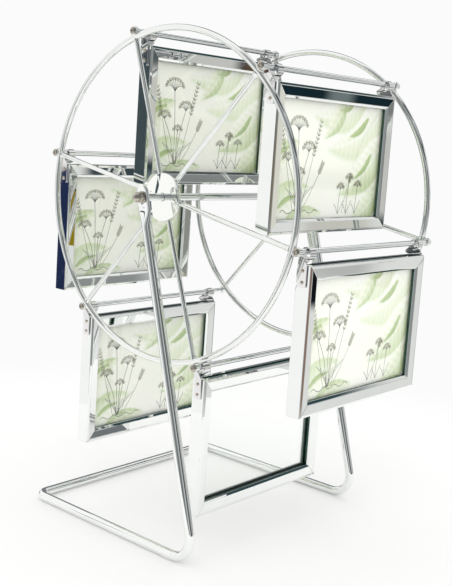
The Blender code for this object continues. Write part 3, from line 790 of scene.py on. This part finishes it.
def picture_tones(x, y):
    """Return the soft picture's colour at points in mm from the lower left corner."""
    wash = 0.5 + 0.25 * np.sin(x / 17 + 1.3 * np.sin(y / 23)) + 0.25 * np.sin(y / 14 - x / 41)
    wash = 0.7 * wash[..., None]
    tones = tones_of(PAPER) * (1 - wash) + tones_of(WASH) * wash
    for leaf in LEAVES:
        cover, leaf_tones = leaf_layer(x, y, leaf)
        shadow, _ = leaf_layer(x + SHADOW_SHIFT[0], y + SHADOW_SHIFT[1], leaf)
        tones = tones * (1 - 0.10 * shadow * np.array([1.0, 0.6, 1.1]))
        tones = tones * (1 - cover) + leaf_tones * cover
    return tones


def curve(start, lean, end, steps=14):
    """Return points along a curve that leaves start towards lean and arrives at end."""
    start, lean, end = Vector(start), Vector(lean), Vector(end)
    return [start.lerp(lean, step / steps).lerp(lean.lerp(end, step / steps), step / steps)
            for step in range(steps + 1)]


def pen_drawing():
    """Return the strokes, as (points, width, ink), and the dots, as (centre, radius, ink), in mm."""
    strokes, dots = [], []

    def umbel(foot, head, size, rays):
        """A flower head: a stem, and rays that each end in five buds."""
        strokes.append((curve(foot, (foot[0], (foot[1] + head[1]) / 2), head), PEN, 0))
        for ray in range(rays):
            angle = math.radians(90 + 150 * (ray / (rays - 1) - 0.5))
            end = (head[0] + size * math.cos(angle), head[1] + size * (0.25 + 0.75 * math.sin(angle)))
            lean = (head[0] + size * 0.3 * math.cos(angle), head[1] + size * 0.55)
            strokes.append((curve(head, lean, end, 8), PEN * 0.8, 0))
            for bud in range(5):
                turn = 2 * math.pi * bud / 5 + ray
                spot = (end[0] + 1.3 * math.cos(turn), end[1] + 1.3 * math.sin(turn))
                strokes.append(([Vector(end), Vector(spot)], PEN * 0.6, 0))
                dots.append((spot, 0.55, (bud + ray) % 2))

    def blade(foot, lean, end):
        """A blade of grass."""
        strokes.append((curve(foot, lean, end), PEN * 0.9, 0))

    def ear(foot, lean, end, grains):
        """An ear of grass: a stem with pairs of awned grains towards its tip."""
        points = curve(foot, lean, end, 24)
        strokes.append((points, PEN * 0.8, 0))
        for grain in range(grains):
            spot = points[-1 - grain]
            way = (spot - points[-2 - grain]).normalized()
            across = Vector((-way.y, way.x))
            for side in (-1, 1):
                tip = spot + across * side * 2.1 + way * 2.4
                strokes.append((curve(spot, spot + across * side * 1.9, tip, 6), PEN * 0.8, 0))
                dots.append((spot + across * side * 1.1 + way * 1.0, 0.62, 1))

    umbel((34, 12), (31, 74), 11, 9)
    umbel((37, 12), (46, 58), 8, 7)
    umbel((33, 12), (20, 50), 7, 7)
    umbel((36, 12), (37, 40), 5, 5)
    ear((40, 12), (48, 40), (60, 82), 9)
    ear((30, 12), (22, 36), (10, 76), 8)
    ear((41, 12), (56, 30), (66, 50), 6)
    for reach in (-16, -11, -6, 7, 13, 19):
        blade((35, 12), (35 + reach * 0.3, 22), (35 + reach, 24 + abs(reach) * 0.4))
    for loop in range(7):
        x = 14 + loop * 7
        strokes.append((curve((x, 11), (x + 3.5, 14.5 - loop % 2 * 5), (x + 7, 11), 8), PEN, 0))
    for place, height in ((92, 20), (104, 28), (117, 22)):
        umbel((place, 9), (place + 2, 9 + height), 4.5, 5)
        blade((place, 9), (place - 3, 15), (place - 6, 17))
        blade((place, 9), (place + 4, 14), (place + 7, 20))
    ear((98, 9), (100, 24), (108, 40), 5)
    return strokes, dots


def add_picture(shape, size, facings):
    """Build the sheet from two grids of points that carry the soft picture, closed round the rim."""
    layer = shape.verts.layers.float_color.new("picture")
    width, height = size.x / MM, size.z / MM
    columns, rows = round(width / GRID), round(height / GRID)
    x, y = np.meshgrid(np.linspace(0, width, columns + 1), np.linspace(0, height, rows + 1), indexing="ij")
    tones = picture_tones(x, y)
    grids = []
    for flip in facings:
        grid = []
        for column in range(columns + 1):
            line = []
            for row in range(rows + 1):
                line.append(shape.verts.new(((x[column, row] - width / 2) * MM * flip, -size.y / 2 * flip,
                                             (y[column, row] - height / 2) * MM)))
                line[-1][layer] = (*tones[column, row], 1.0)
            grid.append(line)
        grids.append(grid)
        for here, beyond in zip(grid[:-1], grid[1:]):
            for row in range(rows):
                shape.faces.new((here[row], beyond[row], beyond[row + 1], here[row + 1]))
    rim = [(column, 0) for column in range(columns)] + [(columns, row) for row in range(rows)]
    rim += [(columns - column, rows - row) for column, row in rim]
    front = [grids[0][column][row] for column, row in rim]
    back = [grids[1][columns - column][row] for column, row in rim]
    for index in range(len(rim)):
        shape.faces.new((front[index - 1], front[index], back[index], back[index - 1]))
    bmesh.ops.recalc_face_normals(shape, faces=shape.faces)


def add_drawing(shape, size, facings):
    """Lay the pen drawing just off each face, as flat strips and dots of ink."""
    strokes, dots = pen_drawing()
    corner = Vector((size.x, size.z)) / MM / 2
    for flip in facings:
        depth = -(size.y / 2 + INK_LIFT) * flip
        for points, pen, ink in strokes:
            edges = []
            for index, point in enumerate(points):
                way = points[min(index + 1, len(points) - 1)] - points[max(index - 1, 0)]
                across = Vector((-way.y, way.x)).normalized() * pen / 2
                pair = [(point + side - corner) * MM for side in (across, -across)]
                edges.append([shape.verts.new((spot.x * flip, depth, spot.y)) for spot in pair])
            for first, second in zip(edges[:-1], edges[1:]):
                corners = (first[0], first[1], second[1], second[0])
                shape.faces.new(corners[::flip]).material_index = 1 + ink
        for centre, radius, ink in dots:
            ring = []
            for across, up in circle(DOT_SIDES)[::flip]:
                spot = Vector(centre) + Vector((across, up)) * radius - corner
                ring.append(shape.verts.new((spot.x * MM * flip, depth * DOT_LIFT, spot.y * MM)))
            shape.faces.new(ring).material_index = 1 + ink


def print_mesh(size, materials):
    """Return the sheet about its own centre: paper, the soft picture on both faces, and the drawing."""
    shape = bmesh.new()
    add_picture(shape, size, (1, -1))
    add_drawing(shape, size, (1, -1))
    mesh = bpy.data.meshes.new("print")
    shape.to_mesh(mesh)
    shape.free()
    for material in materials:
        mesh.materials.append(material)
    return mesh


def photo_paper(name):
    """Satin photo paper: the picture's colour, with the paper's fine pearl in its gloss."""
    material, tree, shader = new_material(name)
    spot = add_node(tree, "TexCoord", output="Object")
    pearl = add_node(tree, "TexNoise", {"Vector": spot, "Scale": 1 / PEARL, "Detail": 2.0})
    gloss = add_node(tree, "MapRange", {"Value": pearl, "To Min": 0.38, "To Max": 0.55})
    colour = add_node(tree, "Attribute", output="Color", attribute_name="picture")
    connect(tree, shader, {"Base Color": colour, "Roughness": gloss})
    return material


def printed_ink(name, colour, worn):
    """A pen line in the print: flat ink that breaks up a little along its length."""
    material, tree, shader = new_material(name)
    spot = add_node(tree, "TexCoord", output="Object")
    grain = add_node(tree, "TexNoise", {"Vector": spot, "Scale": 1 / INK_GRAIN, "Detail": 3.0})
    tone = add_node(tree, "Mix", {"Factor": grain, FIRST: to_linear(colour), SECOND: to_linear(worn)},
                    MIXED, data_type="RGBA")
    connect(tree, shader, {"Base Color": tone, "Roughness": 0.5})
    return material


paper = photo_paper("satin_photo_paper")
inks = [printed_ink("grey_pen_ink", "#34362F", "#5C6056"), printed_ink("straw_ink", "#8C8A58", "#B4B082")]
prints = [number for number in range(1, RODS + 1) if f"frame_{number}_print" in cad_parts]
low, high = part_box(f"frame_{prints[0]}_print")
sheet = print_mesh(high - low, [paper] + inks)
for number in prints:
    node = f"frame_{number}_print"
    add_piece(node + "_sheet", sheet, f"frame_{number}", node, centre_of(node))

# Two pressed hangers carry each frame. A tail is riveted to the frame's side, a tab bends in over the
# top edge, and a curl goes round the rod. They are plated strip, and the rivets are nickel.

SHEET = 0.9 * MM
TAIL_WIDTH = 7.4 * MM
TAIL_LENGTH = 16.5 * MM
TAIL_CORNER = 1.8 * MM      # radius at the foot of the tail
SHOULDER_CORNER = 1.2 * MM
TAB_WIDTH = 15.0 * MM
TAB_LIFT = 0.5 * MM         # from the frame's top edge up to the tab
CURL_WIDTH = 7.0 * MM
CURL_INSET = 2.2 * MM       # from the tail's outer face in to the curl
CURL_BORE = 7.8 * MM
CURL_TURN = math.radians(285)
CURL_STEPS = 40
SEAT_GAP = 0.3 * MM         # between the strip and what it rests on
RIVET = 3.0 * MM
RIVET_HEIGHT = 0.9 * MM
RIVET_TOP = 4.0 * MM        # from the frame's top edge down to the upper rivet
RIVET_PITCH = 8.6 * MM
STRIP_EDGE = 0.16 * MM
STRIP_CREASE = 35           # degrees
HANGER_FACE = -FRAME_SIZE.x / 2 - SEAT_GAP - SHEET      # the near hanger's outer face


def softened(mesh):
    """Break the sharp edges of pressed sheet."""
    shape = bmesh.new()
    shape.from_mesh(mesh)
    bmesh.ops.remove_doubles(shape, verts=shape.verts, dist=0.001 * MM)
    sharp = [edge for edge in shape.edges if edge.is_manifold and edge.calc_face_angle() > math.radians(40)]
    bmesh.ops.bevel(shape, geom=sharp, offset=STRIP_EDGE, segments=2, affect="EDGES")
    return to_mesh("strip", shape, list(mesh.materials))


def curl_mesh(material):
    """Bend the tab and the curl that goes round the rod."""
    middle = CURL_BORE / 2 + SHEET / 2
    rod_radius = (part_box("cross_rod_1")[1].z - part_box("cross_rod_1")[0].z) / 2
    centre_z = -(CURL_BORE / 2 - rod_radius - SEAT_GAP)
    low = -HANG_GAP + TAB_LIFT
    rise = centre_z - low
    stations = []
    # each station's share of the rise from the tab to the curl, and its share of the tab's width
    for share, width in ((0.0, 0.62), (0.05, 0.74), (0.12, 0.86), (0.22, 0.95), (0.35, 1.0)):
        stations.append((Vector((middle, low + rise * share)), Vector((1, 0)), 0.0, TAB_WIDTH * width))
    for share in (0.25, 0.5, 0.75, 1.0):
        height = low + rise * (0.35 + 0.4 * share)
        width = TAB_WIDTH + (CURL_WIDTH - TAB_WIDTH) * ease(share)
        stations.append((Vector((middle, height)), Vector((1, 0)), CURL_INSET * ease(share), width))
    for step in range(CURL_STEPS + 1):
        angle = CURL_TURN * step / CURL_STEPS
        outward = Vector((math.cos(angle), math.sin(angle)))
        stations.append((Vector((0, centre_z)) + outward * middle, outward, CURL_INSET, CURL_WIDTH))
    rings = []
    for spot, outward, inset, width in stations:
        ring = []
        for share, side in ((0, -1), (0, 1), (1, 1), (1, -1)):
            edge = spot + outward * side * SHEET / 2
            ring.append((HANGER_FACE + inset + width * share, edge.x, edge.y))
        rings.append(ring)
    return softened(to_mesh("curl", skinned(rings), [material]))


def tail_mesh(material):
    """Cut the strip that is riveted to the frame's side, with the shoulder below the curl."""
    half = TAIL_WIDTH / 2
    edge = CURL_BORE / 2 + SHEET
    low = -HANG_GAP - TAIL_LENGTH
    seam = -HANG_GAP + TAB_LIFT
    shoulder = -HANG_GAP * 0.4
    outline = [(-half, low), (half, low), (half, seam), (edge, seam), (edge, shoulder),
               (0.2 * half, shoulder), (-half, seam)]
    radii = (TAIL_CORNER, TAIL_CORNER, 0, 0, 0, SHOULDER_CORNER, SHOULDER_CORNER)
    rings = [[(x, y, z) for y, z in rounded(outline, radii, 5)] for x in (HANGER_FACE, HANGER_FACE + SHEET)]
    return softened(to_mesh("tail", skinned(rings), [material]))


def rivet_mesh(row, material):
    """Turn a low domed rivet head, on the tail's first or second row."""
    radius = RIVET / 2
    profile = [(SHEET / 2, radius * 0.9), (0.0, radius)]
    profile += domed(0.0, RIVET_HEIGHT, radius, (10, 30, 50, 70, 86))
    height = -HANG_GAP - RIVET_TOP - RIVET_PITCH * row
    return to_mesh("rivet", turned(profile, 28, centre=(HANGER_FACE, 0, height)), [material])


hanger_chrome = bright_plate("chrome_plate_on_pressed_strip", "#F4F3F3", "#DEDDDE", 0.04, 0.12, 0.004 * MM)
rivet_nickel = bright_plate("nickel_on_rivets", "#DDD3C6", "#BFB2A2", 0.10, 0.22, 0.004 * MM)
strip = smoothed(combined(tail_mesh(hanger_chrome), [curl_mesh(hanger_chrome)], "UNION"), STRIP_CREASE)
rivets = smoothed(joined("rivets", [rivet_mesh(row, rivet_nickel) for row in range(2)]), STRIP_CREASE)
far_strip, far_rivets = mirrored(strip, STRIP_CREASE), mirrored(rivets, STRIP_CREASE)
for number, pivot in enumerate(PIVOTS, start=1):
    for side_name, meshes in (("near", (strip, rivets)), ("far", (far_strip, far_rivets))):
        node = f"frame_{number}_hanger_{side_name}"
        for piece_name, mesh in zip(("strip", "rivets"), meshes):
            add_piece(f"{node}_{piece_name}", mesh, f"frame_{number}", node, pivot)

# The stage is a plain pale floor that fades into the backdrop. The light is a broad even tent with one
# large soft lamp, and the chrome sees a studio round it: pale cloth, grey walls and a few dark shapes.

FLOOR_RADIUS = 0.42
SURROUND_RADIUS = 6.0
FLOOR_SIDES = 96
FOLD_SHADE_SIZE = 160 * MM        # across a soft fold in the cloth, its shade painted as a slightly darker grey
FADE_START = 0.28           # from the object's middle to where the cloth starts to fade
FADE_END = 0.60
FADE_LEAST = 0.35           # share of the backdrop's white that is in the cloth from the start
BACKGROUND = "#FBFBFB"
TENT = 1.22                 # light from all round, on matt surfaces


def floor_material(name):
    """Matt white cloth near the object, fading into the backdrop's own white further out.

    The chrome sees the plain cloth, so that it shows the shadow under the base.
    """
    material, tree, shader = new_material(name)
    spot = add_node(tree, "TexCoord", output="Object")
    # The cloth's two greys are painted shade of soft folds.
    fold_shade = add_node(tree, "TexNoise", {"Vector": spot, "Scale": 1 / FOLD_SHADE_SIZE, "Detail": 2.0})
    tone = add_node(tree, "Mix", {"Factor": fold_shade, FIRST: to_linear("#EFEFEE"), SECOND: to_linear("#E9E9E8")},
                    MIXED, data_type="RGBA")
    connect(tree, shader, {"Base Color": tone, "Roughness": 0.9, "Specular IOR Level": 0.1})
    distance = add_node(tree, "VectorMath", {0: spot}, "Value", operation="LENGTH")
    fade = add_node(tree, "MapRange", {"Value": distance, "From Min": FADE_START, "From Max": FADE_END,
                                       "To Min": FADE_LEAST, "To Max": 1.0}, interpolation_type="SMOOTHSTEP")
    reflected = add_node(tree, "LightPath", output="Is Glossy Ray")
    direct = add_node(tree, "Math", {0: 1.0, 1: reflected}, operation="SUBTRACT")
    share = add_node(tree, "Math", {0: fade, 1: direct}, operation="MULTIPLY")
    glow = add_node(tree, "Emission", {"Color": to_linear(BACKGROUND), "Strength": 1.0})
    mix = add_node(tree, "MixShader", {"Fac": share, 1: shader.outputs["BSDF"], 2: glow})
    connect(tree, tree.nodes["Material Output"], {"Surface": mix})
    return material


def floor_part(name, rims, material):
    """Add a disc inside one rim, or a flat ring between two, on the floor."""
    shape = bmesh.new()
    rings = [[shape.verts.new((radius * across, radius * along, 0)) for across, along in circle(FLOOR_SIDES)]
             for radius in rims]
    if len(rings) == 1:
        shape.faces.new(rings[0])
    else:
        inner, outer = rings
        for side in range(FLOOR_SIDES):
            shape.faces.new((inner[side - 1], outer[side - 1], outer[side], inner[side]))
    floor = add_object(name, to_mesh(name, shape, [material]))
    return floor


cloth = floor_material("white_cloth")
floor_part("floor", (FLOOR_RADIUS,), cloth)
surround = floor_part("floor_surround", (FLOOR_RADIUS, SURROUND_RADIUS), cloth)
surround.visible_glossy = False
surround.visible_diffuse = False

# What the chrome sees, by bearing and height in degrees. Bearing 0 is towards the camera, and it grows
# towards the picture's right. Each patch is its middle, its half sizes, its softness and its colour.

VIEW_BEARING = 139.4        # turns +X onto the direction of the camera
WALLS = "#8F9394"           # the studio, where there is no patch
CARD_MOTTLE = 200 * MM      # across a patch of the cards' two tones
LAMP_STRENGTH = 0.35
LAMP_WIDTH = 50             # degrees
LAMP_TILT = (35, -22, -40)  # degrees about X, Y and Z
PATCHES = (
    (0, 62, 200, 26, 12, "#FFFFFD"),
    (0, -55, 200, 39, 3, "#F2F2F0"),
    (180, 0, 54, 90, 10, "#FFFFFE"),
    (-180, 0, 54, 90, 10, "#FFFFFE"),
    (-106, 0, 36, 90, 5, "#FFFFFE"),
    (25, 34, 85, 16, 4, "#AEB2B3"),
    (25, 31, 85, 5, 1, "#505456"),
    (25, 57, 85, 6, 1.5, "#3E4244"),
    (25, 82, 85, 9, 3, "#8A8E90"),
    (8, -25, 72, 3, 1, "#74787A"),
    (-138, -5, 14, 19, 4, "#9CA1A3"),
    (150, 6, 16, 24, 4, "#9A9EA0"),
    (-180, 0, 21, 60, 3, "#787C7F"),
    (180, 0, 21, 60, 3, "#787C7F"),
    (128, -16, 8, 8, 2, "#83898B"),
    (-56, 0, 16, 18, 3, "#C0C4C4"),
    (-34, 2, 5, 18, 2, "#5E6264"),
    (-14, 3, 5, 10, 2, "#4E5254"),
    (16, 2, 8, 16, 2, "#C8CBCB"),
    (70, 2, 5, 14, 2, "#C4C7C7"),
    (104, 0, 26, 30, 2, "#E2E3E1"),
    (126, 40, 6, 4, 1.5, "#4A4F52"),
    (91, 1, 3, 7, 1.5, "#8E9292"),
    (101.5, -4, 9, 2.3, 0.6, "#16282F"),
    (96.6, -1.7, 2.2, 2.5, 0.5, "#C6C6C2"),
    (99.9, -3.2, 0.8, 1.5, 0.3, "#58493E"),
    (110, 32, 8, 9, 1.5, "#33484B"),
    (98.5, 5.8, 4, 1.8, 0.5, "#858988"),
    (96, 3, 1.6, 1.6, 0.4, "#7A7E7A"),
    (105, -4.1, 0.7, 1.6, 0.4, "#6E7A7A"),
    (107, -13, 2.2, 1.6, 1, "#BABCB9"),
    (93.5, -10.4, 2.2, 1.1, 0.5, "#3A464A"),
    (93.5, -20, 2.6, 3.4, 0.8, "#566062"),
    (112, -28.5, 9, 3.5, 1, "#72787A"),
    (115.5, -8, 2.5, 1.8, 0.4, "#12161A"),
    (103, -17.8, 1.5, 0.9, 0.3, "#5A6062"),
    (105, 4.9, 2, 1.6, 0.5, "#525A5C"),
    (105, 1, 2, 2.3, 0.8, "#C9C8C0"),
    (114, 0, 4, 6, 1, "#DEDCD2"),
    (85, -5, 2.5, 5, 1, "#8F918A"),
    (58, -1, 4, 4, 1, "#7C7464"),
    (61, -11, 4, 5, 1, "#8A7466"),
    (62, 20, 9, 8, 3, "#54585A"),
    (38, 8, 8, 12, 1.5, "#222428"),
    (58, 4, 6, 3, 2, "#84888A"),
)


def studio_world():
    """Light the scene evenly, and give shiny surfaces the studio's patches to reflect."""
    world = bpy.data.worlds.new("studio")
    bpy.context.scene.world = world
    world.use_nodes = True
    tree = world.node_tree
    way = add_node(tree, "TexCoord", output="Generated")
    way = add_node(tree, "VectorRotate", {"Vector": way, "Angle": math.radians(VIEW_BEARING)},
                   rotation_type="Z_AXIS")
    axes = add_node(tree, "SeparateXYZ", {"Vector": way}).node.outputs
    bearing = add_node(tree, "Math", {0: axes["Y"], 1: axes["X"]}, operation="ARCTAN2")
    height = add_node(tree, "Math", {0: axes["Z"]}, operation="ARCSINE")
    bearing, height = [add_node(tree, "Math", {0: angle, 1: math.degrees(1)}, operation="MULTIPLY")
                       for angle in (bearing, height)]
    colour = to_linear(WALLS)
    for middle, rise, half_bearing, half_height, soft, shade in PATCHES:
        masks = []
        for angle, centre, half in ((bearing, middle, half_bearing), (height, rise, half_height)):
            apart = add_node(tree, "Math", {0: angle, 1: float(centre)}, operation="SUBTRACT")
            apart = add_node(tree, "Math", {0: apart}, operation="ABSOLUTE")
            masks.append(add_node(tree, "MapRange", {
                "Value": apart, "From Min": float(half - soft), "From Max": float(half + soft), "To Min": 1.0,
                "To Max": 0.0}, interpolation_type="SMOOTHSTEP"))
        mask = add_node(tree, "Math", {0: masks[0], 1: masks[1]}, operation="MULTIPLY")
        colour = add_node(tree, "Mix", {"Factor": mask, FIRST: colour, SECOND: to_linear(shade)}, MIXED,
                          data_type="RGBA")
    ray = add_node(tree, "LightPath").node.outputs
    seen = add_node(tree, "Math", {0: ray["Is Camera Ray"], 1: ray["Is Transmission Ray"]},
                    operation="MAXIMUM")
    plain = add_node(tree, "Mix", {"Factor": seen, FIRST: (TENT, TENT, TENT, 1),
                                   SECOND: to_linear(BACKGROUND)}, MIXED, data_type="RGBA")
    final = add_node(tree, "Mix", {"Factor": ray["Is Glossy Ray"], FIRST: plain, SECOND: colour}, MIXED,
                     data_type="RGBA")
    connect(tree, tree.nodes["Background"], {"Color": final})


def reflector(name, corner, depth, height, first, second):
    """Stand a card that only shiny surfaces see, from one corner back by its depth and up."""
    shape = bmesh.new()
    shape.faces.new([shape.verts.new(Vector(corner) + Vector((0, y, z)))
                     for y, z in ((0, 0), (depth, 0), (depth, height), (0, height))])
    material, tree, _ = new_material(name + "_paint")
    spot = add_node(tree, "TexCoord", output="Object")
    tone = add_node(tree, "TexNoise", {"Vector": spot, "Scale": 1 / CARD_MOTTLE, "Detail": 2.0})
    paint = add_node(tree, "Mix", {"Factor": tone, FIRST: to_linear(first), SECOND: to_linear(second)},
                     MIXED, data_type="RGBA")
    connect(tree, tree.nodes["Material Output"], {"Surface": add_node(tree, "Emission", {"Color": paint})})
    card = add_object(name, to_mesh(name, shape, [material]))
    for ray in ("camera", "diffuse", "transmission", "shadow", "volume_scatter"):
        setattr(card, "visible_" + ray, False)


studio_world()
reflector("slate_card", (-0.70, 0.664, 0.22), 0.06, 0.28, "#343F43", "#4A565A")
reflector("blue_card", (-0.70, 0.850, 0.0), 0.07, 0.25, "#1A2342", "#2A3656")
reflector("ochre_card", (1.00, -0.745, 0.055), 0.04, 0.127, "#84740E", "#93821C")
lamp = bpy.data.lights.new("soft_lamp", "SUN")
lamp.energy = LAMP_STRENGTH
lamp.angle = math.radians(LAMP_WIDTH)
sun = add_object("soft_lamp", lamp)
sun.rotation_euler = [math.radians(tilt) for tilt in LAMP_TILT]
sun.visible_glossy = False

# The camera stands in front of the near side, a little above the axle's height. It looks slightly
# down, leans slightly, and its lens is that of the photograph.

CAMERA_PLACE = (-0.64509, -0.54663, 0.33518)
HEADING = 49.56             # degrees from +Y towards +X
DIP = 7.91                  # degrees below level
LEAN = 3.90                 # degrees anticlockwise
PICTURE = (452, 586)        # pixels
FOCUS = 970.93              # focal length in pixels
CENTRE = (226.43, 268.57)   # where the lens points, in pixels from the upper left corner
SENSOR = 36.0

camera_data = bpy.data.cameras.new("camera")
camera_data.sensor_width = SENSOR
camera_data.lens = FOCUS * SENSOR / PICTURE[1]
camera_data.shift_x = (PICTURE[0] / 2 - CENTRE[0]) / PICTURE[1]
camera_data.shift_y = (CENTRE[1] - PICTURE[1] / 2) / PICTURE[1]
camera = add_object("camera", camera_data)
camera.matrix_world = (Matrix.Translation(CAMERA_PLACE) @ Matrix.Rotation(math.radians(-HEADING), 4, "Z")
                       @ Matrix.Rotation(math.radians(90 - DIP), 4, "X")
                       @ Matrix.Rotation(math.radians(LEAN), 4, "Z"))
bpy.context.scene.camera = camera
bpy.context.scene.view_settings.view_transform = "Standard"
